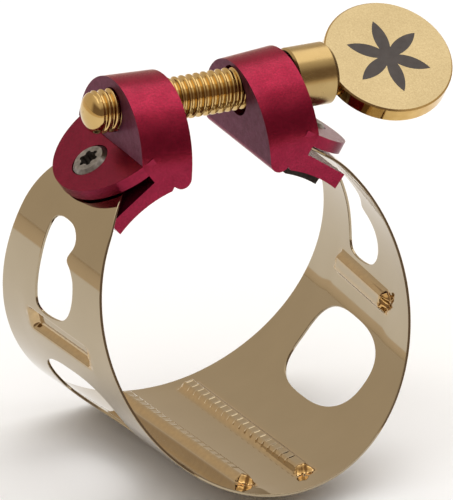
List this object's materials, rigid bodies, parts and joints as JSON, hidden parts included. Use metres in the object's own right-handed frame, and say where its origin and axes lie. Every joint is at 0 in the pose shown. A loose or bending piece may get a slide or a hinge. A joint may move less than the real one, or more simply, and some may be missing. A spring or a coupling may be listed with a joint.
{
  "type": "saxophone ligature",
  "caption": "Tapered sprung band with windows and stamped ribs, closed by a thumb screw through two clamp blocks with soft pads.",
  "frame": {"origin": "on the band's axis, straight below the thumb screw's axis", "axes": "+X along the thumb screw towards its disc, +Y along the mouthpiece towards the wide end of the band, +Z from the reed towards the screw"},
  "size_m": [0.0341, 0.025, 0.0309],
  "materials": {
    "band_metal": "gold plated, polished",
    "screw_metal": "gold plated, polished",
    "block_metal": "red anodised, satin",
    "pad": "matt",
    "inlay": "dark enamel",
    "lock_screw": "blackened"
  },
  "bodies": {
    "frame": {"band": "band_metal", "right_block": "block_metal", "right_pad": "pad"},
    "left_clamp": {"left_block": "block_metal", "left_pad": "pad"},
    "thumb_screw": {"screw_shaft": "screw_metal", "screw_collar": "screw_metal", "thumb_disc": "screw_metal", "disc_inlay": "inlay"},
    "left_lock": {"left_lock_screw": "lock_screw"},
    "right_lock": {"right_lock_screw": "lock_screw"}
  },
  "joints": [
    {"name": "screw_turn", "type": "hinge", "parent": "frame", "child": "thumb_screw", "pos_m": [0, 0, 0.01385], "axis": [-1, 0, 0], "range_deg": [-1080, 1800]},
    {"name": "block_travel", "type": "slide", "parent": "frame", "child": "left_clamp", "axis": [1, 0, 0], "range_m": [-0.0018, 0.003], "deforming": ["band"]},
    {"name": "left_lock_turn", "type": "hinge", "parent": "left_clamp", "child": "left_lock", "pos_m": [-0.00892, 0, 0.01013], "axis": [-0.5519, 0, 0.8339], "range_deg": [0, 720]},
    {"name": "right_lock_turn", "type": "hinge", "parent": "frame", "child": "right_lock", "pos_m": [0.00908, 0, 0.0103], "axis": [0.515, 0, 0.8572], "range_deg": [0, 720]}
  ],
  "couplings": [
    {"joint": "screw_turn", "follows": "block_travel", "rad_per_m": 10472}
  ]
}
